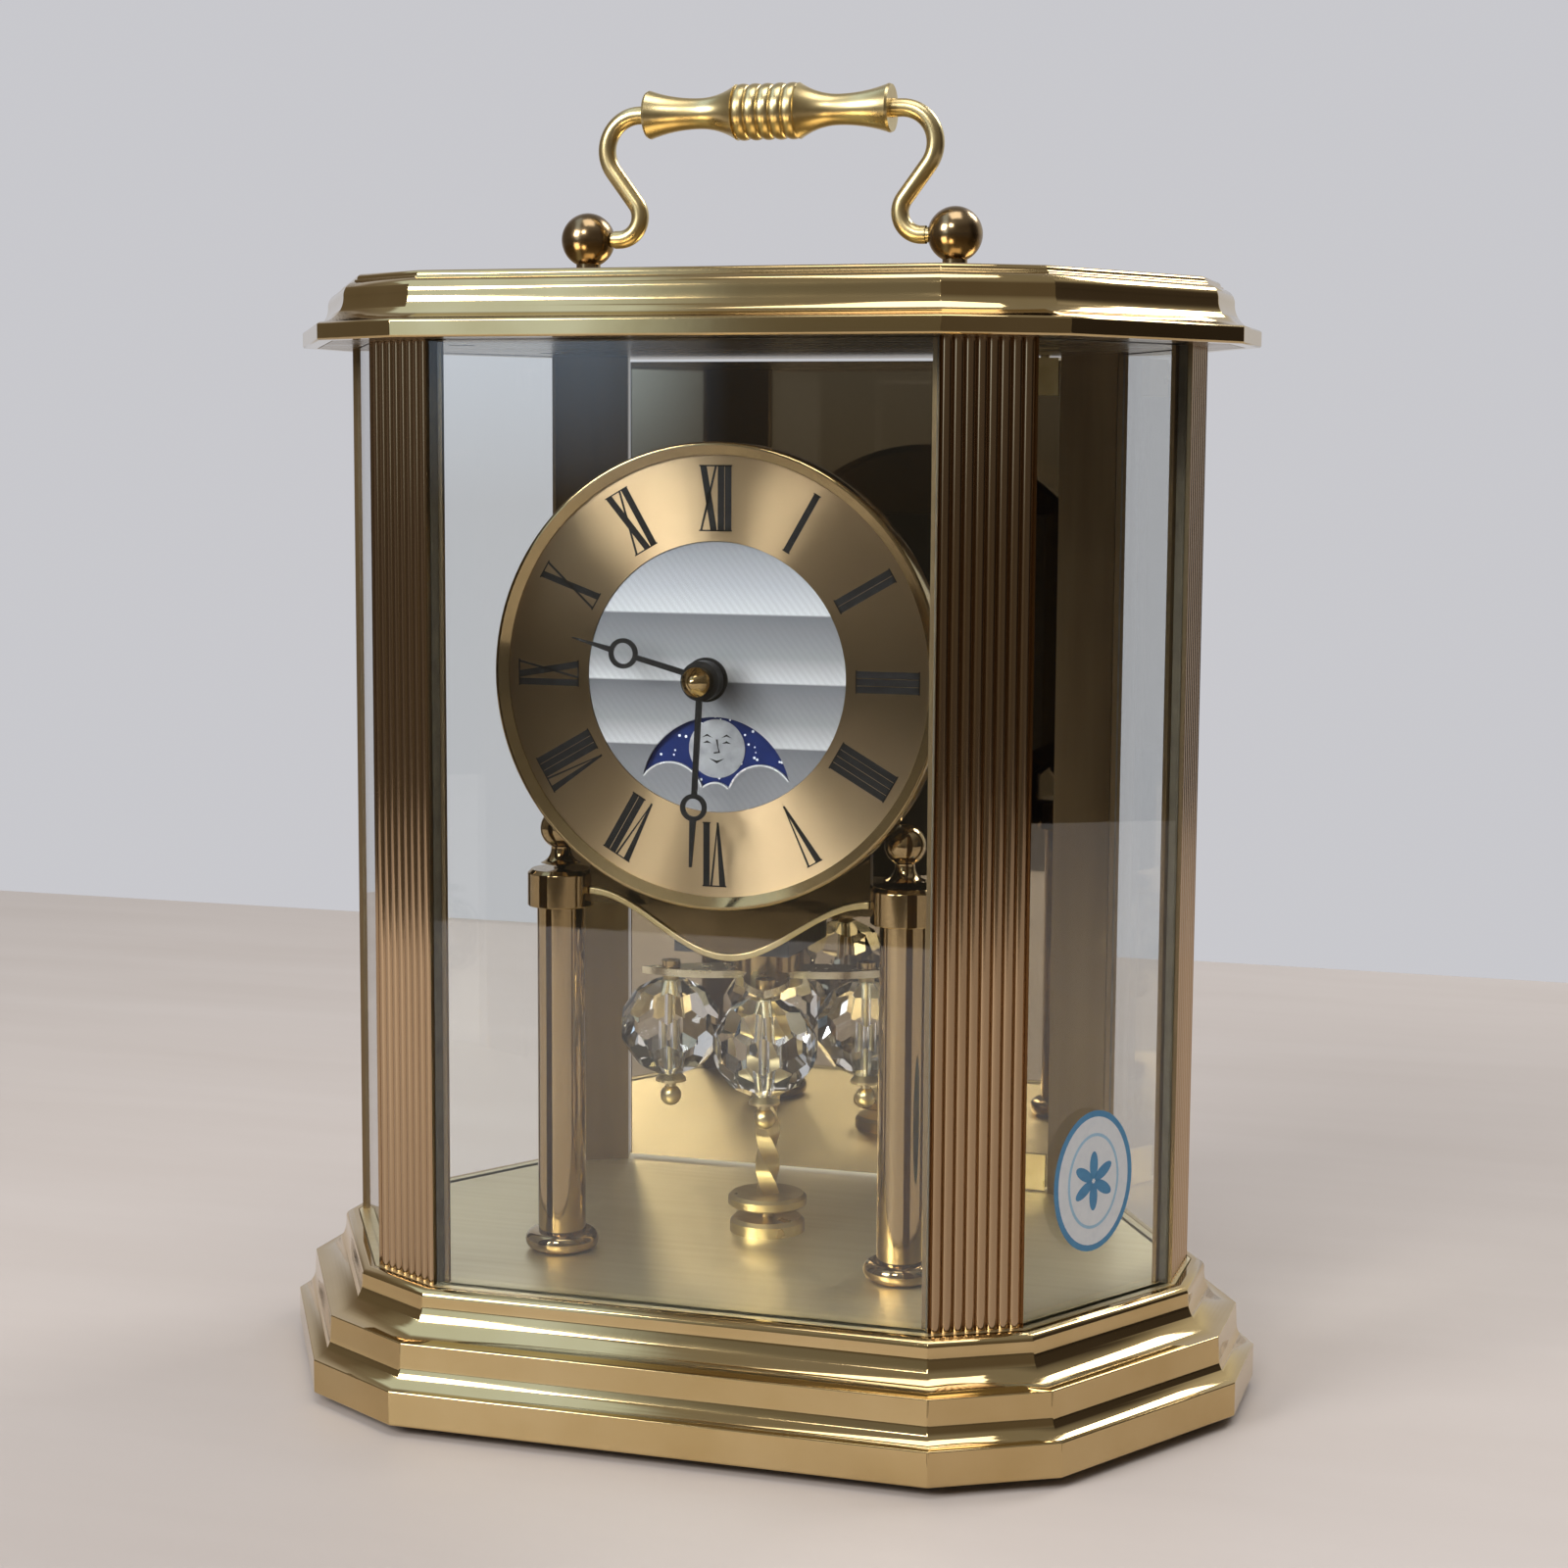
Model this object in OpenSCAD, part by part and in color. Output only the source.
// Crystal mantel clock: a twelve-sided glass case between a moulded brass base and lid, with a
// swinging handle, a moon-phase dial, a quartz movement and a turning pendulum of crystal balls.
// Millimetres, +Z up, the dial faces -Y, origin at the middle of the underside of the feet.

/* [Case plan] */
// Half of the width of the front glass, at the outer line of the case
front_half_w = 50; // [46:0.5:56]
// Width of each reeded post, at the outer line of the case
strip_w = 18.5; // [17:0.5:21]
// Width of each of the four side glasses, at the outer line of the case
side_glass_w = 43.3; // [38:0.5:50]

/* [Case heights] */
// Height of the felt feet
foot_h = 2; // [1:0.25:4]
// Thickness of the brushed deck plate
deck_t = 2.2; // [1.8:0.1:4]
// Height of the glass opening between deck and lid
opening_h = 183.5; // [176:0.5:220]

/* [Base moulding] */
// How far the base stands out from the case line
base_overhang = 13.5; // [12.5:0.5:18]
// Height of the lower upright band
base_band_h = 6.9; // [5:0.1:9]
// How far the lower cove draws in
low_cove_in = 3.4; // [2.5:0.1:4.5]
// Height of the lower cove
low_cove_h = 4.2; // [3:0.1:6]
// Height of the second upright band
second_band_h = 4.4; // [3:0.1:6]
// Radius of the upper cove
high_cove_r = 6.4; // [5.5:0.1:7]
// Height of the bead between the upper cove and the rim
bead_h = 2.6; // [2:0.1:4]

/* [Lid moulding] */
// How far the lid stands out from the case line
lid_overhang = 10.1; // [9:0.1:14]
// Height of the upright band at the lid's edge
lid_band_h = 3.3; // [2.6:0.1:5]
// How far the lid's cove draws in
lid_cove_in = 4.6; // [3:0.1:6]
// Height of the lid's cove
lid_cove_h = 6.2; // [5:0.1:8]
// Radius of the rounded edge at the top of the lid
lid_round_r = 2; // [1:0.1:2.6]
// Thickness of the plate that closes the lid from below
lid_plate_t = 2; // [1.5:0.1:2.5]

/* [Posts and glass] */
// Depth of a post from front to back
post_t = 5; // [4.6:0.1:6.5]
// Number of reeds on a post
reed_count = 8; // [6:1:10]
// Depth of the grooves between the reeds
reed_depth = 0.8; // [0.4:0.05:0.9]
// Plain border beside the reeds
reed_border = 0.45; // [0.2:0.05:1]
// Thickness of the glass
glass_t = 3; // [2:0.1:3.4]
// How far the glass is set back from the outer line of the case
glass_setback = 0.8; // [0.4:0.1:1]
// Length of the lip behind the edge of each pane
lip_w = 4.3; // [3:0.1:6]

/* [Handle] */
// Distance from the middle to each ball post
ball_post_x = 38.7; // [36:0.1:42]
// Diameter of the balls
handle_ball_d = 10.3; // [9:0.1:12]
// Height of the ball centres above the lid
handle_pivot_h = 9.3; // [8:0.1:12]
// Diameter of the bail wire
wire_d = 3.6; // [3:0.1:4.2]
// Diameter of the pivot pin at each end of the wire
handle_pin_d = 3; // [2:0.1:3]
// Radius of the wire's lower bend
low_bend_r = 4.5; // [4:0.1:6]
// Radius of the wire's upper bend
high_bend_r = 7; // [6:0.1:8]
// Height of the grip's axis above the pivots
grip_rise = 24.8; // [23:0.1:30]
// Half of the length of the turned grip
grip_half_len = 25.6; // [23:0.1:26.5]
// Diameter of the ribbed barrel in the middle of the grip
barrel_d = 11.2; // [9:0.1:13]
// Length of the ribbed barrel
barrel_len = 13; // [10:0.5:16]
// Number of ribs on the barrel
rib_count = 5; // [3:1:7]
// Diameter of the grip's waists
waist_d = 6.1; // [5.4:0.1:7]

/* [Columns and yoke] */
// Distance from the middle to each column
column_x = 36; // [34:0.5:38]
// How far the columns stand in front of the middle
column_front = 22; // [21:0.5:24]
// Diameter of a column's tube
column_d = 9.7; // [8:0.1:11]
// Diameter of the ring at a column's foot
column_ring_d = 15; // [13:0.5:18]
// Height of the ring at a column's foot
column_ring_h = 4; // [3:0.1:6]
// Height of the underside of the column caps above the deck
cap_rise = 71.3; // [68:0.1:80]
// Diameter of a column's cap
cap_d = 13.5; // [12:0.1:16]
// Height of a column's cap
cap_h = 7.5; // [6:0.1:9]
// Diameter of the finial balls
finial_ball_d = 8.3; // [6:0.1:10]
// Thickness of the yoke plate
yoke_t = 2; // [1.5:0.1:2.5]
// Depth of the wave in the yoke's lower edge, from its mean line
yoke_wave = 6; // [4:0.1:7]
// Width of the raised rim along the yoke's lower edge
yoke_rim_w = 1.4; // [1:0.1:2]

/* [Dial] */
// Height of the dial's centre above the deck
dial_rise = 119.2; // [119:0.1:130]
// Distance of the bezel's front edge from the middle of the clock
bezel_front = 33; // [32.5:0.1:35]
// Outer diameter of the bezel
bezel_d = 91; // [89:0.5:94]
// Width of the bezel's sloping inner face
bezel_slope_w = 2.1; // [1.5:0.1:2.6]
// Depth of the bezel from front to back
bezel_depth = 5.5; // [5:0.1:7]
// Diameter of the silvered centre disc
centre_disc_d = 52.6; // [50:0.2:56]
// Radius of the moon window's upper arch
moon_window_r = 15.4; // [14:0.1:16]
// Distance of the moon disc's axis below the dial's centre
moon_axis_drop = 23.1; // [22.5:0.1:24]
// Radius of each hump at the sides of the moon window
hump_r = 6.9; // [6:0.1:7.4]
// Distance of each hump's centre from the middle of the window
hump_x = 9.3; // [8.5:0.1:10]
// Radius of the small hump between them
small_hump_r = 3.9; // [3:0.1:4.5]
// Height of the small hump above the moon disc's axis
small_hump_rise = 2.7; // [2:0.1:3.2]
// Diameter of the painted moons
moon_d = 11.5; // [9:0.1:12]

/* [Hands] */
// Length of the hour hand from its axis to the tip
hour_hand_len = 28.5; // [26:0.5:32]
// Distance of the hour hand's ring from its axis
hour_ring_at = 17.6; // [15:0.1:20]
// Outer diameter of the hour hand's ring
hour_ring_d = 5.9; // [4:0.1:7]
// Diameter of the hour hand's hub
hour_hub_d = 8.6; // [7:0.1:10]
// Length of the minute hand from its axis to the tip
minute_hand_len = 36; // [32:0.5:40]
// Distance of the minute hand's ring from its axis
minute_ring_at = 24.4; // [21:0.1:27]
// Outer diameter of the minute hand's ring
minute_ring_d = 5.3; // [4:0.1:7]
// Diameter of the minute hand's bush
minute_hub_d = 7.7; // [6:0.1:9]
// Width of a hand's shaft
hand_w = 1.2; // [1:0.1:2]
// Distance from the hour hand to the minute hand
hand_spacing = 3.6; // [2:0.1:4]
// Diameter of the nut that holds the hands
nut_d = 5.7; // [5:0.1:7]
// Minutes past twelve that the hands show
shown_minutes = 570.5; // [0:0.5:719.5]

/* [Movement] */
// Wall thickness of the movement's housing
movement_wall = 1.2; // [1:0.1:1.4]
// Room for the two contacts at the battery's ends
contact_room = 4.6; // [4:0.1:8]
// Diameter of the battery
battery_d = 14.2; // [13.5:0.1:14.4]
// Length of the battery
battery_len = 50; // [46:0.5:50.5]
// Module of the wheels that drive the minute side
minute_module = 0.5; // [0.45:0.01:0.55]

/* [Pendulum] */
// Distance of the pendulum's axis behind the middle of the clock
pendulum_back = 4; // [2:0.5:6]
// Distance of each crystal ball from the pendulum's axis
crystal_orbit = 20.4; // [19.5:0.1:24]
// Diameter of the crystal balls
crystal_d = 20; // [16:0.5:21]
// Height of the crystal balls' centres above the deck
crystal_rise = 43.5; // [40:0.5:48]
// Turn of the four arms from straight ahead, in degrees
pendulum_phase = 15.6; // [0:0.1:45]
// Width of each leaf-shaped arm
arm_w = 9.5; // [7:0.1:12]
// Thickness of the arm plate
arm_t = 1.5; // [1:0.1:2.5]
// Diameter of the pendulum's hub
hub_d = 14.6; // [12:0.1:18]
// Diagonal of the twisted square rod
rod_diagonal = 5.1; // [4:0.1:7]
// Turns of twist along the rod
rod_turns = 1.5; // [0.5:0.25:3]
// Diameter of the disc under the rod
rod_disc_d = 16.5; // [14:0.5:20]

/* [Rear door] */
// Gap between the mirror door and the posts and plates round it
door_gap = 1; // [0.8:0.05:1.4]
// Distance of the pivots from the door's edge
door_pivot_inset = 3.9; // [3:0.1:4]
// Diameter of the door's pivot pins
door_pin_d = 2; // [1.5:0.1:2.2]

/* [Fits] */
// Radial clearance of a shaft that turns in its bore
running_fit = 0.06; // [0.03:0.01:0.09]
// Gap between fixed pieces that drop into each other
drop_fit = 0.15; // [0.1:0.05:0.25]

/* [Hidden] */
$fn = 64;
BRASS = "#c9a24b";
DARK_BRASS = "#a8843c";
SATIN = "#cdb98a";
eps = 0.01;

// Plan of the case: twelve faces, each turned 30 degrees from the last, the front face first
face_turn = 30;
mitre_tan = tan(face_turn / 2);
half_depth = strip_w + side_glass_w * sin(60);
function plan_points(d) = let (
    a = front_half_w + d * mitre_tan,
    c = strip_w + 2 * d * mitre_tan,
    s = side_glass_w + 2 * d * mitre_tan,
    h = half_depth + d,
    quarter = [[a, h], [a + c * cos(30), h - c / 2], [a + c * cos(30) + s / 2, c / 2]]
) concat(
    [[-a, -h]],
    [for (i = [0 : 2]) [quarter[i][0], -quarter[i][1]]],
    [for (i = [2 : -1 : 0]) quarter[i]],
    [for (i = [0 : 2]) [-quarter[i][0], quarter[i][1]]],
    [for (i = [2 : -1 : 1]) -quarter[i]]
);
case_line = plan_points(0);
function face_middle(i) = (case_line[i] + case_line[(i + 1) % 12]) / 2;
function face_width(i) = norm(case_line[(i + 1) % 12] - case_line[i]);

// Heights of the base
base_rim_d = base_overhang - 2;
second_band_z = base_band_h + low_cove_h;
high_cove_z = second_band_z + second_band_h;
bead_z = high_cove_z + high_cove_r;
base_h = bead_z + bead_h;
deck_top = foot_h + base_h;
deck_edge = 0.7;
shelf_edge = -0.6;
cover_t = 2.2;
wall_t = 3;

// Heights of the case and lid
lid_bottom = deck_top + opening_h;
lid_step = 0.5;
lid_cove_z = lid_band_h + 0.3;
lid_bead_z = lid_cove_z + lid_cove_h + 1;
lid_top_d = lid_step + lid_cove_in + lid_round_r;
lid_h = lid_bead_z + lid_round_r;
lid_top = lid_bottom + lid_h;
lid_roof_t = 2;
edge_bevel = 0.3;
moulding_reach = 4 * half_depth;

// Screws that hold the posts, covers and plates
post_screw_d = 1.8;
post_screw_in = (post_t + reed_depth) / 2;
post_screw_len = 8;
pillar_d = 8;
pillar_at = [52, 34];
cover_screw_d = 3;
cover_head_d = 6;
foot_d = 18;
foot_at = [62, 36];
lid_boss_at = [56, 24];
lid_screw_len = 8;
lid_head_t = 1;

// Handle
pivot_z = lid_top + handle_pivot_h;
grip_z = pivot_z + grip_rise;
low_bend_x = ball_post_x - 7.4;
high_bend_x = grip_half_len + 0.6;
high_bend_z = grip_z - high_bend_r;
bend_run = [low_bend_x - high_bend_x, high_bend_z - (pivot_z + low_bend_r)];
wire_heading = atan2(bend_run[1], bend_run[0]) + asin((low_bend_r + high_bend_r) / norm(bend_run));
wire_in_grip = 6;
pin_in_ball = 4;
stud_d = 4;
nut_t = 0.8 * stud_d;

// Columns, yoke and dial
cap_z = deck_top + cap_rise;
cap_top = cap_z + cap_h;
finial_neck_h = 4.6;
dial_z = deck_top + dial_rise;
ring_front = bezel_front - 1.5;
ring_t = 1;
back_front = ring_front - ring_t;
back_t = 2.4;
movement_w = battery_len + contact_room + 2 * movement_wall;
movement_depth = battery_d + 2 * (movement_wall + drop_fit);
movement_front = back_front - back_t;
movement_back = movement_front - movement_depth;
ring_r = bezel_d / 2 - 1.5;
slope_foot_r = bezel_d / 2 - 0.4 - bezel_slope_w;
yoke_mid_z = cap_z - 3.2;
yoke_half = column_x - cap_d / 2;
slot_z = cap_z + 1;
slot_h = cap_h - 4.5;
yoke_top = dial_z - movement_w / 2 - 6;

// Arbor, pipe and wheels of the hands
arbor_d = 2;
pipe_d = 3.6;
pipe_bore_d = arbor_d + 2 * running_fit;
boss_d = 8;
hour_hand_front = bezel_front + 4.2;
minute_hand_front = hour_hand_front + hand_spacing;
hand_t = 0.6;
nut_skirt = 2.6;
nut_cone = 2.2;
cannon_teeth = 12;
motion_teeth = 36;
motion_pinion_teeth = 10;
hour_teeth = 40;
wheel_distance = minute_module * (cannon_teeth + motion_teeth) / 2;
hour_module = 2 * wheel_distance / (motion_pinion_teeth + hour_teeth);
inner_front = movement_front - movement_wall;
hour_wheel_f = inner_front - 1.5;
motion_wheel_f = inner_front - 3.3;
wheel_t = 1;
battery_y = -(movement_w / 2 - movement_wall - drop_fit - battery_d / 2);
battery_f = movement_back + movement_wall + drop_fit + battery_d / 2;

// Pendulum
arm_z = deck_top + crystal_rise + crystal_d / 2 + 1;
hub_bottom = arm_z + arm_t;
hub_h = 4.5;
spindle_in = 11;
hub_top = hub_bottom + hub_h;
spindle_d = 3;
drive_gap = 2.5;
drive_bottom = hub_top + drive_gap;
drive_top = dial_z - movement_w / 2;
collar_t = 1.8;
spigot_d = 6;
spigot_in = 0.9;
disc_bottom = deck_top + 5.5;
disc_t = 2.5;
guide_h = 3;

// Rear door
door_half = front_half_w - (glass_setback + glass_t) * mitre_tan - door_gap + 0.5;
door_face = half_depth - glass_setback;
door_pivot = [door_half - door_pivot_inset, door_face - glass_t / 2];
clip_t = 0.6;
clip_w = 9;
clip_h = 8;

function on_arc(c, r, a) = c + r * [cos(a), sin(a)];
function arc_points(c, r, a0, a1, n) = [for (i = [0 : n]) on_arc(c, r, a0 + (a1 - a0) * i / n)];

// Points of a hollow arc from p to q that bites into their chord by depth, in n steps
function cove_points(p, q, depth, n) = let (
    half_chord = norm(q - p) / 2,
    r = (half_chord * half_chord + depth * depth) / (2 * depth),
    along = (q - p) / (2 * half_chord),
    c = (p + q) / 2 + (r - depth) * [along[1], -along[0]],
    start = atan2(p[1] - c[1], p[0] - c[0]),
    sweep = (atan2(q[1] - c[1], q[0] - c[0]) - start + 540) % 360 - 180
) arc_points(c, r, start, start + sweep, n);

// Plate with the plan of the case, standing out from its line by d
module plan_plate(d, z, t) {
    translate([0, 0, z]) linear_extrude(height = t) polygon(plan_points(d));
}

// What stands on face i of the plan, its outer face along X and its inside towards +Y
module on_face(i) {
    translate(face_middle(i)) rotate([0, 0, face_turn * i]) children();
}

// A mitred moulding with the profile given as a child: its outer edge is x = 0, its inside x < 0
module mitred(d) {
    intersection_for (i = [0 : 11])
        on_face(i) translate([0, -d, 0]) rotate([0, 0, -90]) rotate([90, 0, 0])
            linear_extrude(height = 400, center = true) children();
}

module base_profile() {
    low_top = [-low_cove_in, second_band_z];
    high_low = [-low_cove_in - 0.2, high_cove_z];
    high_top = [-low_cove_in - 0.2 - high_cove_r, bead_z];
    polygon(concat(
        [[-moulding_reach, 0], [-edge_bevel, 0], [0, edge_bevel]],
        cove_points([0, base_band_h], low_top, 0.55, 6),
        cove_points(high_low, high_top, high_cove_r * 0.29, 12),
        [[high_top[0], bead_z + bead_h * 0.3],
            [(high_top[0] - base_rim_d) / 2, bead_z + bead_h * 0.65],
            [-base_rim_d, base_h], [-moulding_reach, base_h]]));
}

module base_moulding() {
    color(BRASS) difference() {
        translate([0, 0, foot_h]) mitred(base_overhang) base_profile();
        plan_plate(deck_edge + drop_fit, deck_top - deck_t, deck_t + 1);
        plan_plate(shelf_edge, foot_h - 1, base_h);
        plan_plate(base_overhang - wall_t, foot_h - 1, 1 + cover_t);
        plan_plate(base_overhang - wall_t - 1.5, foot_h - 1, 1 + base_band_h);
        plan_plate(base_overhang - wall_t - low_cove_in, foot_h - 1, 1 + high_cove_z - 1.5);
    }
}

// Height rows of holes that the deck and the pieces under it share
module at_corners(p) {
    for (x = [-1, 1], y = [-1, 1]) translate([x * p[0], y * p[1]]) children();
}

module at_posts() {
    for (i = [1 : 2 : 11]) on_face(i) translate([0, post_screw_in]) children();
}

module at_columns() {
    for (x = [-column_x, column_x]) translate([x, -column_front]) children();
}

module deck_plate() {
    color(SATIN) difference() {
        plan_plate(deck_edge, deck_top - deck_t, deck_t);
        translate([0, 0, deck_top - deck_t - 1]) {
            at_posts() cylinder(d = post_screw_d + 2 * drop_fit, h = deck_t + 2);
            at_columns() cylinder(d = cover_screw_d + 2 * drop_fit, h = deck_t + 2);
            translate([0, pendulum_back])
                cylinder(d = cover_screw_d + 2 * drop_fit, h = deck_t + 2);
            translate(door_pivot) cylinder(d = door_pin_d + 2 * running_fit, h = deck_t + 2);
        }
    }
}

module bottom_cover() {
    color("#3b342c") difference() {
        plan_plate(base_overhang - wall_t - drop_fit, foot_h, cover_t);
        at_corners(pillar_at) {
            translate([0, 0, foot_h - 1]) cylinder(d = cover_screw_d + 2 * drop_fit, h = cover_t + 2);
            translate([0, 0, foot_h - 1]) cylinder(d = cover_head_d + 2 * drop_fit, h = 1 + cover_t / 2);
        }
    }
}

module felt_feet() {
    color("#2f4636") at_corners(foot_at) cylinder(d = foot_d, h = foot_h);
}

module base_pillars() {
    color(DARK_BRASS) at_corners(pillar_at) difference() {
        translate([0, 0, foot_h + cover_t])
            cylinder(d = pillar_d, h = deck_top - deck_t - foot_h - cover_t, $fn = 6);
        translate([0, 0, foot_h]) cylinder(d = cover_screw_d, h = cover_t + 12);
    }
}

// Screw with its head below and its shank upwards, from the underside of the head
module screw(d, len, head_d, head_h) {
    cylinder(d = d, h = len);
    difference() {
        translate([0, 0, -head_h]) cylinder(d = head_d, h = head_h);
        translate([-head_d / 2, -head_d / 16, -head_h - eps])
            cube([head_d, head_d / 8, head_h / 2]);
    }
}

module base_screws() {
    color("silver") at_corners(pillar_at)
        translate([0, 0, foot_h + cover_t / 2])
            screw(cover_screw_d - 2 * running_fit, cover_t / 2 + 9, cover_head_d, cover_t / 2 - 0.1);
}

module post_screws() {
    color("silver") {
        at_posts() translate([0, 0, deck_top - deck_t])
            screw(post_screw_d - 2 * running_fit, deck_t + post_screw_len - 1, 3.6, 1.3);
        at_posts() translate([0, 0, lid_bottom + lid_plate_t]) mirror([0, 0, 1])
            screw(post_screw_d - 2 * running_fit, lid_plate_t + post_screw_len - 1, 3.6, 1.3);
    }
}

// Section of a reeded post; lips lists the sides, -1 left and 1 right, with a lip behind the glass
module post_section(lips) {
    pitch = (strip_w - 2 * reed_border) / reed_count;
    reed_r = (pitch * pitch / 4 + reed_depth * reed_depth) / (2 * reed_depth);
    difference() {
        polygon([[-strip_w / 2, 0], [strip_w / 2, 0],
            [strip_w / 2 - post_t * mitre_tan, post_t],
            [-strip_w / 2 + post_t * mitre_tan, post_t]]);
        translate([-reed_count * pitch / 2, -1]) square([reed_count * pitch, 1 + reed_depth]);
        translate([0, post_screw_in]) circle(d = post_screw_d, $fn = 24);
    }
    for (i = [0 : reed_count - 1]) translate([(i + 0.5 - reed_count / 2) * pitch, 0])
        intersection() {
            translate([0, reed_r]) circle(r = reed_r, $fn = 48);
            translate([-pitch / 2, 0]) square([pitch, reed_depth + eps]);
        }
    seat = glass_setback + glass_t + drop_fit;
    for (side = lips) translate([side * strip_w / 2, 0]) rotate(side * face_turn)
        translate([side > 0 ? -1 : -lip_w, seat]) square([1 + lip_w, post_t - seat]);
}

module post(i, lips) {
    color(BRASS) translate([0, 0, deck_top]) on_face(i)
        linear_extrude(height = opening_h) post_section(lips);
}

module pane(i) {
    outer = face_width(i) / 2 - glass_setback * mitre_tan - drop_fit;
    inner = outer - glass_t * mitre_tan;
    color("lightcyan", 0.35) translate([0, 0, deck_top]) on_face(i)
        linear_extrude(height = opening_h - drop_fit)
            polygon([[-outer, glass_setback], [outer, glass_setback],
                [inner, glass_setback + glass_t], [-inner, glass_setback + glass_t]]);
}

module lid_profile() {
    cove_low = [-lid_step, lid_cove_z];
    cove_top = [-lid_step - lid_cove_in, lid_cove_z + lid_cove_h];
    polygon(concat(
        [[-moulding_reach, 0], [-edge_bevel, 0], [0, edge_bevel], [0, lid_band_h]],
        cove_points(cove_low, cove_top, 1, 8),
        [[cove_top[0], lid_bead_z]],
        arc_points([cove_top[0] - lid_round_r, lid_bead_z], lid_round_r, 15, 90, 5),
        [[-moulding_reach, lid_h]]));
}

module lid_moulding() {
    inner = lid_overhang - wall_t;
    color(BRASS) difference() {
        union() {
            difference() {
                translate([0, 0, lid_bottom]) mitred(lid_overhang) lid_profile();
                plan_plate(inner, lid_bottom - 1, 1 + lid_plate_t);
                plan_plate(inner - 1, lid_bottom, lid_cove_z);
                plan_plate(inner - lid_cove_in, lid_bottom, lid_h - lid_roof_t);
            }
            translate([0, 0, lid_bottom + lid_plate_t]) at_corners(lid_boss_at)
                cylinder(d = pillar_d, h = lid_h - lid_plate_t - eps);
        }
        at_corners(lid_boss_at) translate([0, 0, lid_bottom])
            cylinder(d = cover_screw_d, h = lid_screw_len + lid_plate_t);
        at_handle_posts() translate([0, 0, lid_bottom])
            cylinder(d = stud_d + 2 * drop_fit, h = lid_h + 1);
    }
}

module lid_plate() {
    color(DARK_BRASS) difference() {
        plan_plate(lid_overhang - wall_t - drop_fit, lid_bottom, lid_plate_t);
        at_posts() translate([0, 0, lid_bottom - 1])
            cylinder(d = post_screw_d + 2 * drop_fit, h = lid_plate_t + 2);
        at_corners(lid_boss_at) translate([0, 0, lid_bottom - 1]) {
            cylinder(d = cover_screw_d + 2 * drop_fit, h = lid_plate_t + 2);
            cylinder(d = cover_head_d - 1 + 2 * drop_fit, h = 1 + lid_head_t + 0.1);
        }
        translate([door_pivot[0], door_pivot[1], lid_bottom - 1])
            cylinder(d = door_pin_d + 2 * running_fit, h = lid_plate_t + 2);
    }
}

module lid_screws() {
    color("silver") at_corners(lid_boss_at) translate([0, 0, lid_bottom + lid_head_t + 0.1])
        screw(cover_screw_d - 2 * running_fit, lid_screw_len, cover_head_d - 1, lid_head_t);
}

module at_handle_posts() {
    for (side = [0, 1]) mirror([side, 0]) translate([ball_post_x, 0]) children();
}

module handle_posts() {
    ball_r = handle_ball_d / 2;
    color(DARK_BRASS) at_handle_posts() difference() {
        union() {
            translate([0, 0, pivot_z]) sphere(r = ball_r);
            translate([0, 0, lid_top]) rotate_extrude() polygon(concat(
                [[0, 0], [4, 0], [4, 0.9], [3.4, 1.3]],
                arc_points([2.5 + 1.4, 2.7], 1.4, 250, 180, 4),
                [[2.5, handle_pivot_h - ball_r + 0.8], [0, handle_pivot_h]]));
            translate([0, 0, lid_top - lid_roof_t - nut_t - 0.8])
                cylinder(d = stud_d, h = lid_roof_t + nut_t + 1.8);
        }
        translate([-ball_r - 1, 0, pivot_z]) rotate([0, 90, 0])
            cylinder(d = handle_pin_d + 2 * running_fit, h = 1 + pin_in_ball + 0.4);
    }
}

module handle_nuts() {
    color("silver") at_handle_posts() translate([0, 0, lid_top - lid_roof_t - nut_t]) difference() {
        cylinder(d = 2 * stud_d, h = nut_t, $fn = 6);
        translate([0, 0, -1]) cylinder(d = stud_d + 2 * running_fit, h = nut_t + 2);
    }
}

// Route of the left arm's wire as [x, z, heading]: out of the ball, round the lower bend, up
// and over the upper bend, and into the grip
wire_low = [-low_bend_x, pivot_z + low_bend_r];
wire_high = [-high_bend_x, high_bend_z];
bend_steps = 10;
wire_route = concat(
    [[-ball_post_x + handle_ball_d / 2 + 0.4, pivot_z, 0]],
    [for (i = [0 : bend_steps]) let (h = wire_heading * i / bend_steps)
        [wire_low[0] + low_bend_r * sin(h), wire_low[1] - low_bend_r * cos(h), h]],
    [for (i = [0 : bend_steps]) let (h = wire_heading * (1 - i / bend_steps))
        [wire_high[0] - high_bend_r * sin(h), wire_high[1] + high_bend_r * cos(h), h]],
    [[wire_in_grip - grip_half_len, grip_z, 0]]
);

// Round tube along a route in the XZ plane
module wire_tube(route, d, sides) {
    rings = len(route);
    points = [for (p = route, k = [0 : sides - 1]) let (a = 360 * k / sides, u = cos(a) * d / 2)
        [p[0] - u * sin(p[2]), sin(a) * d / 2, p[1] + u * cos(p[2])]];
    walls = [for (i = [0 : rings - 2], k = [0 : sides - 1]) let (j = (k + 1) % sides)
        [i * sides + k, i * sides + j, (i + 1) * sides + j, (i + 1) * sides + k]];
    polyhedron(points, concat(walls,
        [[for (k = [sides - 1 : -1 : 0]) k], [for (k = [0 : sides - 1]) (rings - 1) * sides + k]]));
}

module handle_arm() {
    ball_face = ball_post_x - handle_ball_d / 2;
    color(DARK_BRASS) {
        wire_tube(wire_route, wire_d, 24);
        translate([-ball_face - pin_in_ball, 0, pivot_z]) rotate([0, 90, 0])
            cylinder(d = handle_pin_d, h = pin_in_ball + 1.4);
    }
}

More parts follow.
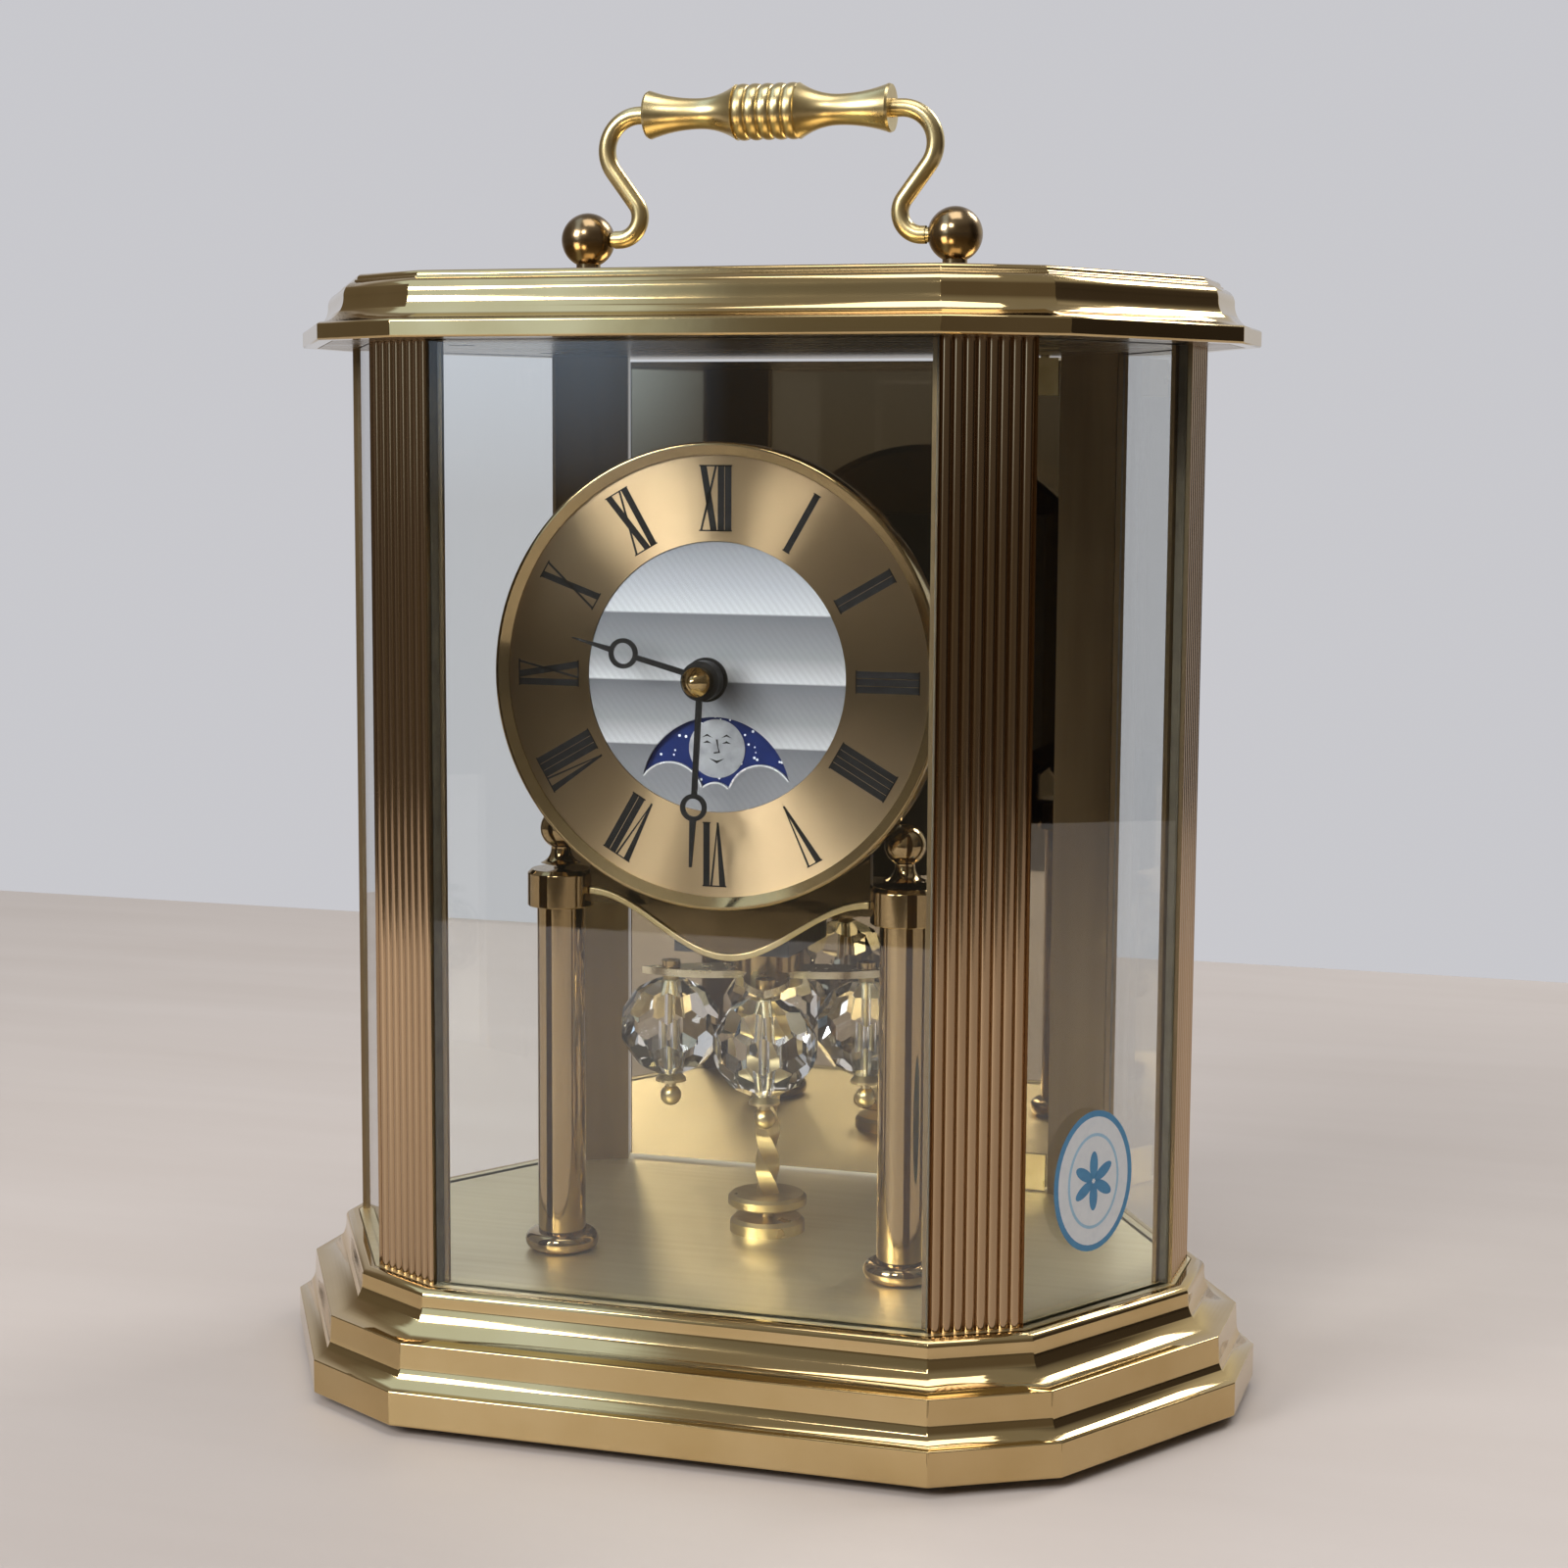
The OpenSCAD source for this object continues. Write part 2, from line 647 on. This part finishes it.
module grip_half_profile() {
    end_r = 5;
    waist_x = barrel_len / 2 + (grip_half_len - barrel_len / 2) * 0.43;
    shoulder = barrel_len / 2;
    near = waist_x - shoulder;
    far = grip_half_len - waist_x;
    near_r = (near * near + pow(barrel_d / 2 - waist_d / 2, 2)) / (barrel_d - waist_d);
    far_r = (far * far + pow(end_r - waist_d / 2, 2)) / (2 * end_r - waist_d);
    difference() {
        union() {
            square([waist_x, barrel_d / 2]);
            translate([waist_x - eps, 0]) square([far + eps, end_r]);
        }
        intersection() {
            translate([waist_x, waist_d / 2 + near_r]) circle(r = near_r, $fn = 128);
            translate([shoulder, 0]) square([near, barrel_d]);
        }
        intersection() {
            translate([waist_x, waist_d / 2 + far_r]) circle(r = far_r, $fn = 128);
            translate([waist_x, 0]) square([far + 1, barrel_d]);
        }
        translate([grip_half_len, end_r]) rotate(45) square(0.9, center = true);
    }
}

module handle_grip() {
    rib = barrel_len / rib_count;
    color(DARK_BRASS) translate([0, 0, grip_z]) rotate([0, 90, 0]) difference() {
        for (side = [0, 1]) mirror([0, 0, side]) rotate_extrude() rotate(-90) grip_half_profile();
        for (i = [0 : rib_count]) translate([0, 0, i * rib - barrel_len / 2])
            rotate_extrude() translate([barrel_d / 2 + 0.15, 0]) circle(r = 0.5, $fn = 20);
        for (side = [0, 1]) mirror([0, 0, side]) translate([0, 0, grip_half_len - wire_in_grip])
            cylinder(d = wire_d, h = wire_in_grip + 1);
    }
}

module column_tubes() {
    color(BRASS) at_columns() difference() {
        translate([0, 0, deck_top + column_ring_h])
            cylinder(d = column_d, h = cap_z - deck_top - column_ring_h);
        translate([0, 0, deck_top]) cylinder(d = cover_screw_d, h = 16);
    }
}

module column_rings() {
    r = column_ring_d / 2;
    round_r = column_ring_h / 2;
    color(BRASS) at_columns() translate([0, 0, deck_top]) rotate_extrude() difference() {
        union() {
            translate([cover_screw_d / 2 + drop_fit, 0])
                square([r - round_r - cover_screw_d / 2 - drop_fit, column_ring_h]);
            translate([r - round_r, round_r]) circle(r = round_r, $fn = 32);
        }
        translate([-5, 0]) square([5, column_ring_h]);
    }
}

module column_caps() {
    r = cap_d / 2;
    color(BRASS) for (side = [0, 1]) mirror([side, 0]) translate([column_x, -column_front])
        difference() {
            translate([0, 0, cap_z]) rotate_extrude() polygon([[0, 0], [r, 0], [r, cap_h - 0.8],
                [r - 0.8, cap_h], [1, cap_h], [1, cap_h - 3], [0, cap_h - 3]]);
            translate([-r - 1, -yoke_t / 2 - drop_fit, slot_z])
                cube([r + 1, yoke_t + 2 * drop_fit, slot_h]);
        }
}

module column_finials() {
    r = finial_ball_d / 2;
    color(BRASS) at_columns() translate([0, 0, cap_top]) {
        rotate_extrude() polygon(concat(
            [[0, -2.4], [0.9, -2.4], [0.9, 0], [cap_d / 2 - 1.6, 0]],
            arc_points([cap_d / 2 - 1.6, finial_neck_h - 0.4], finial_neck_h - 1.4, 250, 180, 5),
            [[2, finial_neck_h], [0, finial_neck_h]]));
        translate([0, 0, finial_neck_h + r - 0.6]) sphere(r = r);
    }
}

module column_screws() {
    color("silver") at_columns() translate([0, 0, deck_top - deck_t])
        screw(cover_screw_d - 2 * running_fit, deck_t + column_ring_h + 9, cover_head_d, 1.6);
}

function yoke_edge(x) = yoke_mid_z - yoke_wave * cos(180 * x / yoke_half);

// Outline of the yoke between its waved lower edge, raised by lift, and its top
module yoke_outline(lift, top) {
    steps = 32;
    polygon(concat(
        [for (i = [0 : steps]) let (x = yoke_half * (2 * i / steps - 1)) [x, yoke_edge(x) + lift]],
        [[yoke_half, top], [-yoke_half, top]]));
}

module yoke_plate() {
    tongue = 3.5;
    color(BRASS) translate([0, -column_front + yoke_t / 2, 0]) rotate([90, 0, 0]) {
        linear_extrude(height = yoke_t) yoke_outline(0, yoke_top);
        linear_extrude(height = yoke_t + 0.8) difference() {
            yoke_outline(0, yoke_top);
            yoke_outline(yoke_rim_w, yoke_top + 1);
        }
        translate([-yoke_half - tongue, slot_z + drop_fit])
            cube([2 * (yoke_half + tongue), slot_h - 2 * drop_fit, yoke_t]);
    }
}

// Dial frame: X to the right, Y up, Z forwards from the middle of the clock
module on_dial() {
    translate([0, 0, dial_z]) rotate([90, 0, 0]) children();
}

module dial_bezel() {
    r = bezel_d / 2;
    bore = ring_r + drop_fit;
    color(BRASS) on_dial() rotate_extrude($fn = 128) polygon([
        [r, bezel_front - bezel_depth], [r, bezel_front - 0.4], [r - 0.4, bezel_front],
        [r - 0.6, bezel_front], [slope_foot_r, bezel_front - 1.1],
        [slope_foot_r, ring_front], [bore, ring_front], [bore, bezel_front - bezel_depth]]);
}

module dial_ring() {
    color(SATIN) on_dial() translate([0, 0, back_front]) difference() {
        cylinder(r = ring_r, h = ring_t, $fn = 128);
        translate([0, 0, -1]) cylinder(d = centre_disc_d + drop_fit, h = ring_t + 2, $fn = 128);
    }
}

// Window over the moon disc: an arch with a hump at each side and a small one between them
module moon_window() {
    translate([0, -moon_axis_drop]) difference() {
        intersection() {
            circle(r = moon_window_r, $fn = 96);
            translate([-moon_window_r, 0]) square([2 * moon_window_r, moon_window_r]);
        }
        for (x = [-hump_x, hump_x]) translate([x, -hump_r / 14]) circle(r = hump_r, $fn = 64);
        translate([0, small_hump_rise - small_hump_r]) circle(r = small_hump_r, $fn = 48);
    }
}

module dial_centre() {
    color("#d5d8da") on_dial() translate([0, 0, back_front]) linear_extrude(height = ring_t - 0.3)
        difference() {
            circle(d = centre_disc_d, $fn = 128);
            circle(d = pipe_d + 1, $fn = 32);
            moon_window();
        }
}

module dial_back() {
    color(DARK_BRASS) on_dial() difference() {
        translate([0, 0, movement_front]) cylinder(r = ring_r, h = back_t, $fn = 128);
        translate([0, -moon_axis_drop, back_front - 1.2])
            cylinder(r = moon_window_r + 1.2, h = 2, $fn = 96);
        translate([0, -moon_axis_drop, movement_front - 1])
            cylinder(d = arbor_d + 2 * running_fit, h = back_t + 2, $fn = 32);
        translate([0, 0, movement_front - 1])
            cylinder(d = boss_d + 2 * drop_fit, h = back_t + 2);
    }
}

module moon_disc() {
    color("#1f3f96") on_dial() translate([0, -moon_axis_drop, 0]) {
        translate([0, 0, back_front - 0.95]) cylinder(r = moon_window_r + 0.8, h = 0.6, $fn = 96);
        translate([0, 0, movement_front + 0.1])
            cylinder(d = arbor_d, h = back_front - 0.8 - movement_front - 0.1, $fn = 32);
    }
    color("#e8d9a0") on_dial() translate([0, -moon_axis_drop, back_front - 0.35 - eps])
        for (x = [-1, 1]) translate([0, x * (moon_window_r - moon_d / 2 - 0.5), 0])
            cylinder(d = moon_d, h = 0.1);
}

// A hand drawn straight up: hub, narrowing shaft, ring and a tapered end of width tip_w
module hand_outline(len, ring_at, ring_d, hub_d, bore_d, tip_w) {
    difference() {
        union() {
            circle(d = hub_d);
            polygon([[-hand_w / 2, 0], [hand_w / 2, 0], [hand_w * 0.42, ring_at],
                [-hand_w * 0.42, ring_at]]);
            translate([0, ring_at]) circle(d = ring_d);
            polygon([[-hand_w * 0.6, ring_at], [hand_w * 0.6, ring_at],
                [tip_w / 2, len], [-tip_w / 2, len]]);
        }
        circle(d = bore_d);
        translate([0, ring_at]) circle(d = ring_d - 1.8);
    }
}

module hour_hand() {
    color("#161616") on_dial() rotate([0, 0, -shown_minutes / 2])
        translate([0, 0, hour_hand_front - hand_t]) linear_extrude(height = hand_t)
            hand_outline(hour_hand_len, hour_ring_at, hour_ring_d, hour_hub_d, pipe_d, 0.2);
}

module minute_hand() {
    bush_back = hour_hand_front + 0.5;
    color("#161616") on_dial() rotate([0, 0, -shown_minutes * 6]) {
        translate([0, 0, minute_hand_front - hand_t]) linear_extrude(height = hand_t)
            hand_outline(minute_hand_len, minute_ring_at, minute_ring_d, minute_hub_d, arbor_d, 0.45);
        translate([0, 0, bush_back]) difference() {
            cylinder(d = minute_hub_d, h = minute_hand_front - hand_t - bush_back + eps);
            translate([0, 0, -1]) cylinder(d = arbor_d, h = hand_spacing + 2);
        }
    }
}

module hand_nut() {
    color(BRASS) on_dial() translate([0, 0, minute_hand_front]) difference() {
        union() {
            cylinder(d = nut_d, h = nut_skirt);
            translate([0, 0, nut_skirt - eps]) cylinder(d1 = nut_d, d2 = nut_d / 8, h = nut_cone);
        }
        translate([0, 0, -1]) cylinder(d = arbor_d, h = 1 + nut_skirt - 0.6);
    }
}

module movement_shell() {
    half = movement_w / 2;
    inner = movement_w - 2 * movement_wall;
    color("#262626") on_dial() difference() {
        union() {
            translate([-half, -half, movement_back + movement_wall])
                cube([movement_w, movement_w, movement_depth - movement_wall]);
            translate([0, 0, movement_front - eps]) cylinder(d = boss_d, h = back_t - 0.1);
        }
        difference() {
            translate([-inner / 2, -inner / 2, movement_back])
                cube([inner, inner, movement_depth - movement_wall]);
            translate([-half, battery_y + battery_d / 2 + drop_fit, movement_back])
                cube([movement_w, 0.8, movement_depth]);
        }
        translate([0, 0, movement_back]) cylinder(d = pipe_d + 2 * running_fit, h = 30, $fn = 32);
        translate([0, wheel_distance, movement_back])
            cylinder(d = arbor_d + 2 * running_fit, h = movement_depth - 0.5, $fn = 32);
    }
}

module movement_cover() {
    half = movement_w / 2;
    color("#303030") on_dial() difference() {
        translate([-half, -half, movement_back]) cube([movement_w, movement_w, movement_wall]);
        for (y = [0, wheel_distance]) translate([0, y, movement_back - 1])
            cylinder(d = arbor_d + 2 * running_fit, h = movement_wall + 2, $fn = 32);
    }
}

module battery() {
    color("#8f9aa3") on_dial() translate([0, battery_y, battery_f]) rotate([0, 90, 0]) {
        cylinder(d = battery_d, h = battery_len - 1, center = true);
        translate([0, 0, battery_len / 2 - 0.5 - eps]) cylinder(d = 5.5, h = 1);
    }
}

module battery_contacts() {
    plate_t = 0.5;
    plate_w = battery_d * 0.7;
    end = movement_w / 2 - movement_wall - plate_t;
    color("silver") on_dial() for (side = [0, 1]) mirror([side, 0])
        translate([end, battery_y, battery_f]) {
            translate([0, -plate_w / 2, -plate_w / 2]) cube([plate_t, plate_w, plate_w]);
            gap = end - battery_len / 2 - (side == 0 ? 0.5 : -0.5) - 0.05;
            translate([-gap, 0, 0]) rotate([0, 90, 0]) cylinder(d = plate_w / 2, h = gap + 0.2);
        }
}

module circuit_board() {
    color("#2d6b3a") on_dial() {
        translate([13, -8, inner_front - 1.2]) cube([movement_w / 2 - 15.5, 30, 1.2]);
        translate([15, 2, inner_front - 2.4]) cube([6, 6, 1.2 + eps]);
        translate([19, 14, inner_front - 4.2]) cylinder(d = 3, h = 3 + eps);
    }
}

module motor_coil() {
    color("#b5672e") on_dial() {
        translate([-movement_w / 2 + 3, -8, inner_front - 1]) cube([12, 30, 1]);
        translate([-movement_w / 2 + 9, -5, inner_front - 4.6]) rotate([-90, 0, 0])
            cylinder(d = 7.4, h = 24);
    }
}

// Spur wheel with straight-sided teeth that run with plain backlash
module wheel(teeth, m, bore_d) {
    pitch_r = teeth * m / 2;
    root_r = pitch_r - 0.75 * m;
    tip_r = pitch_r + 0.6 * m;
    root_w = m * 1.05;
    tip_w = m * 0.45;
    difference() {
        union() {
            circle(r = root_r, $fn = 72);
            for (i = [0 : teeth - 1]) rotate(i * 360 / teeth)
                polygon([[root_r - 0.1, -root_w / 2], [tip_r, -tip_w / 2],
                    [tip_r, tip_w / 2], [root_r - 0.1, root_w / 2]]);
        }
        if (bore_d > 0) circle(d = bore_d, $fn = 32);
    }
}

module cannon_pinion() {
    color(BRASS) on_dial() {
        translate([0, 0, motion_wheel_f - 0.2]) linear_extrude(height = wheel_t + 0.4)
            rotate(90) wheel(cannon_teeth, minute_module, 0);
        translate([0, 0, movement_back + 0.4])
            cylinder(d = arbor_d, h = minute_hand_front + 0.8 - movement_back - 0.4, $fn = 32);
    }
}

module motion_wheel() {
    knob_t = 3;
    color(BRASS) on_dial() translate([0, wheel_distance, 0]) {
        translate([0, 0, motion_wheel_f]) linear_extrude(height = wheel_t)
            rotate(90 + 180 / motion_teeth) wheel(motion_teeth, minute_module, 0);
        translate([0, 0, hour_wheel_f - 0.2]) linear_extrude(height = wheel_t + 0.4)
            rotate(-90) wheel(motion_pinion_teeth, hour_module, 0);
        translate([0, 0, movement_back - 1.5])
            cylinder(d = arbor_d, h = movement_depth + 0.9, $fn = 32);
        translate([0, 0, movement_back - 1.2 - knob_t]) cylinder(d = 9, h = knob_t, $fn = 24);
    }
}

module hour_wheel() {
    color(BRASS) on_dial() difference() {
        union() {
            translate([0, 0, hour_wheel_f]) linear_extrude(height = wheel_t)
                rotate(90 + 180 / hour_teeth) wheel(hour_teeth, hour_module, 0);
            translate([0, 0, hour_wheel_f])
                cylinder(d = pipe_d, h = hour_hand_front + 0.2 - hour_wheel_f, $fn = 48);
        }
        translate([0, 0, hour_wheel_f - 1])
            cylinder(d = pipe_bore_d, h = hour_hand_front - hour_wheel_f + 2, $fn = 32);
    }
}

module at_pendulum() {
    translate([0, pendulum_back]) children();
}

module pendulum_drive() {
    half = 12;
    back = pendulum_back + half;
    front = column_front - yoke_t / 2;
    color("#262626") difference() {
        union() {
            translate([-half, -front, drive_bottom])
                cube([2 * half, front + pendulum_back, drive_top - drive_bottom]);
            at_pendulum() translate([0, 0, drive_bottom])
                cylinder(r = half, h = drive_top - drive_bottom);
        }
        at_pendulum() translate([0, 0, drive_bottom - 1])
            cylinder(d = spindle_d + 2 * running_fit, h = spindle_in + 3, $fn = 32);
    }
}

module pendulum_hub() {
    r = hub_d / 2;
    color(DARK_BRASS) at_pendulum() {
        translate([0, 0, hub_bottom]) rotate_extrude() polygon([[0, 0], [r, 0], [r, hub_h - 0.9],
            [r - 0.9, hub_h], [0, hub_h]]);
        translate([0, 0, hub_top - eps]) cylinder(d = spindle_d, h = drive_gap + spindle_in, $fn = 32);
        translate([0, 0, arm_z - spigot_in + drop_fit])
            cylinder(d = spigot_d, h = arm_t + spigot_in - drop_fit + eps);
    }
}

module at_crystals() {
    at_pendulum() for (i = [0 : 3]) rotate([0, 0, pendulum_phase + 90 * i])
        translate([0, -crystal_orbit]) children();
}

// One leaf-shaped arm reaching out to -Y, where two arcs meet in a point
module leaf() {
    near = -4;
    tip = crystal_orbit + 6;
    half = (tip - near) / 2;
    r = (half * half + arm_w * arm_w / 4) / arm_w;
    translate([0, -near - half]) intersection() {
        translate([r - arm_w / 2, 0]) circle(r = r, $fn = 128);
        translate([arm_w / 2 - r, 0]) circle(r = r, $fn = 128);
    }
}

module pendulum_arms() {
    color(SATIN) at_pendulum() translate([0, 0, arm_z]) linear_extrude(height = arm_t)
        difference() {
            union() {
                for (i = [0 : 3]) rotate(pendulum_phase + 90 * i) leaf();
                circle(d = hub_d - 1);
            }
            circle(d = spigot_d + 2 * drop_fit);
            for (i = [0 : 3]) rotate(pendulum_phase + 90 * i) translate([0, -crystal_orbit])
                circle(d = 1.6 + 2 * drop_fit, $fn = 24);
        }
}

// Ring of facets that touch a ball of radius r at a latitude, above and below the equator
module facet_row(r, latitude, count, turn) {
    top = r * 0.985;
    wide = r / cos(latitude) / cos(180 / count);
    narrow = (r - top * sin(latitude)) / cos(latitude) / cos(180 / count);
    rotate([0, 0, turn]) for (side = [0, 1]) mirror([0, 0, side])
        cylinder(r1 = wide, r2 = narrow, h = top, $fn = count);
}

module crystal() {
    r = crystal_d / 2;
    difference() {
        hull() intersection() {
            facet_row(r, 0, 10, 0);
            facet_row(r, 33, 10, 18);
            facet_row(r, 61, 7, 0);
        }
        cylinder(d = 2.2, h = crystal_d + 2, center = true, $fn = 24);
    }
}

module crystal_balls() {
    color("aliceblue", 0.5) translate([0, 0, deck_top + crystal_rise])
        at_crystals() crystal();
}

module crystal_pins() {
    r = crystal_d / 2;
    top = arm_z + arm_t + 1 - deck_top - crystal_rise;
    color(BRASS) translate([0, 0, deck_top + crystal_rise]) at_crystals() {
        rotate_extrude() polygon([[0, top], [0.8, top], [0.8, -r * 0.9], [0.8, -r],
            [2.2, -r], [3.2, -r - 1.2], [3.2, -r - 1.7], [1.1, -r - 2], [1.1, -r - 3.5], [0, -r - 3.5]]);
        translate([0, 0, -r - 4.8]) sphere(r = 2.2);
        translate([0, 0, r * 0.985]) cylinder(d = 3.4, h = arm_z - deck_top - crystal_rise - r * 0.985);
    }
}

module stud_nuts() {
    color(BRASS) translate([0, 0, arm_z + arm_t]) at_crystals() difference() {
        cylinder(d = 4, h = 1.4);
        translate([0, 0, -1]) cylinder(d = 1.6 + 2 * running_fit, h = 3);
    }
}

module twisted_rod() {
    side = rod_diagonal / sqrt(2);
    top = arm_z - collar_t;
    color(BRASS) at_pendulum() {
        translate([0, 0, disc_bottom + disc_t])
            linear_extrude(height = top - disc_bottom - disc_t, twist = -360 * rod_turns,
                    slices = 60, $fn = 4)
                square(side, center = true);
        translate([0, 0, top]) difference() {
            cylinder(d = hub_d - 0.6, h = collar_t);
            translate([0, 0, collar_t - spigot_in]) cylinder(d = spigot_d + 2 * drop_fit, h = 2);
        }
    }
}

module rod_disc() {
    r = rod_disc_d / 2;
    color(BRASS) at_pendulum() translate([0, 0, disc_bottom]) rotate_extrude()
        polygon([[1.5 + running_fit, 0], [r - 0.4, 0], [r, 0.4], [r, disc_t - 0.7],
            [r - 0.7, disc_t], [0, disc_t], [0, disc_t - 0.6], [1.5 + running_fit, disc_t - 0.6]]);
}

module guide_disc() {
    r = rod_disc_d / 2 - 0.4;
    color(BRASS) at_pendulum() {
        translate([0, 0, deck_top]) rotate_extrude() polygon([[0, 0], [r, 0], [r, guide_h - 0.8],
            [r - 0.8, guide_h], [0, guide_h]]);
        translate([0, 0, deck_top + guide_h - eps])
            cylinder(d = 3, h = disc_bottom - deck_top - guide_h + disc_t - 0.8);
        translate([0, 0, deck_top - deck_t - 1]) cylinder(d = cover_screw_d, h = deck_t + 1 + eps);
    }
}

module door_panel() {
    color("#6d5f50") translate([-door_half, door_face - glass_t, deck_top + door_gap])
        cube([2 * door_half, glass_t, opening_h - 2 * door_gap]);
}

module door_fittings() {
    knob_d = 7;
    color(BRASS) {
        for (side = [0, 1])
            translate([0, 0, side * (deck_top + lid_bottom)]) mirror([0, 0, side])
                translate([door_pivot[0], door_pivot[1], deck_top]) {
                    difference() {
                        translate([-clip_w + 3.4, -glass_t / 2 - clip_t, door_gap - clip_t])
                            cube([clip_w, glass_t + 2 * clip_t, clip_h]);
                        translate([-clip_w, -glass_t / 2, door_gap]) cube([2 * clip_w, glass_t, clip_h]);
                    }
                    translate([0, 0, -1.6]) cylinder(d = door_pin_d, h = door_gap + 1.2, $fn = 32);
                }
        translate([-door_half + 6, door_face, deck_top + opening_h / 2]) rotate([-90, 0, 0])
            rotate_extrude() polygon([[0, 0], [1.4, 0], [1.4, 1.6], [knob_d / 2, 2.6],
                [knob_d / 2, 3.6], [knob_d / 2 - 0.8, 4.4], [0, 4.4]]);
    }
}

base_moulding();
deck_plate();
bottom_cover();
felt_feet();
base_pillars();
base_screws();
post_screws();
post(11, [-1, 1]);  // post_front_left
post(1, [-1, 1]);  // post_front_right
post(9, [-1, 1]);  // post_side_left
post(3, [-1, 1]);  // post_side_right
post(7, [1]);  // post_rear_left
post(5, [-1]);  // post_rear_right
pane(0);  // glass_front
pane(10);  // glass_front_left
pane(2);  // glass_front_right
pane(8);  // glass_rear_left
pane(4);  // glass_rear_right
lid_moulding();
lid_plate();
lid_screws();
handle_posts();
handle_nuts();
handle_arm();  // handle_arm_left
mirror([1, 0, 0]) handle_arm();  // handle_arm_right
handle_grip();
column_tubes();
column_rings();
column_caps();
column_finials();
column_screws();
yoke_plate();
dial_bezel();
dial_ring();
dial_centre();
dial_back();
moon_disc();
hour_hand();
minute_hand();
hand_nut();
movement_shell();
movement_cover();
battery();
battery_contacts();
circuit_board();
motor_coil();
cannon_pinion();
motion_wheel();
hour_wheel();
pendulum_drive();
pendulum_hub();
pendulum_arms();
crystal_balls();
crystal_pins();
stud_nuts();
twisted_rod();
rod_disc();
guide_disc();
door_panel();
door_fittings();
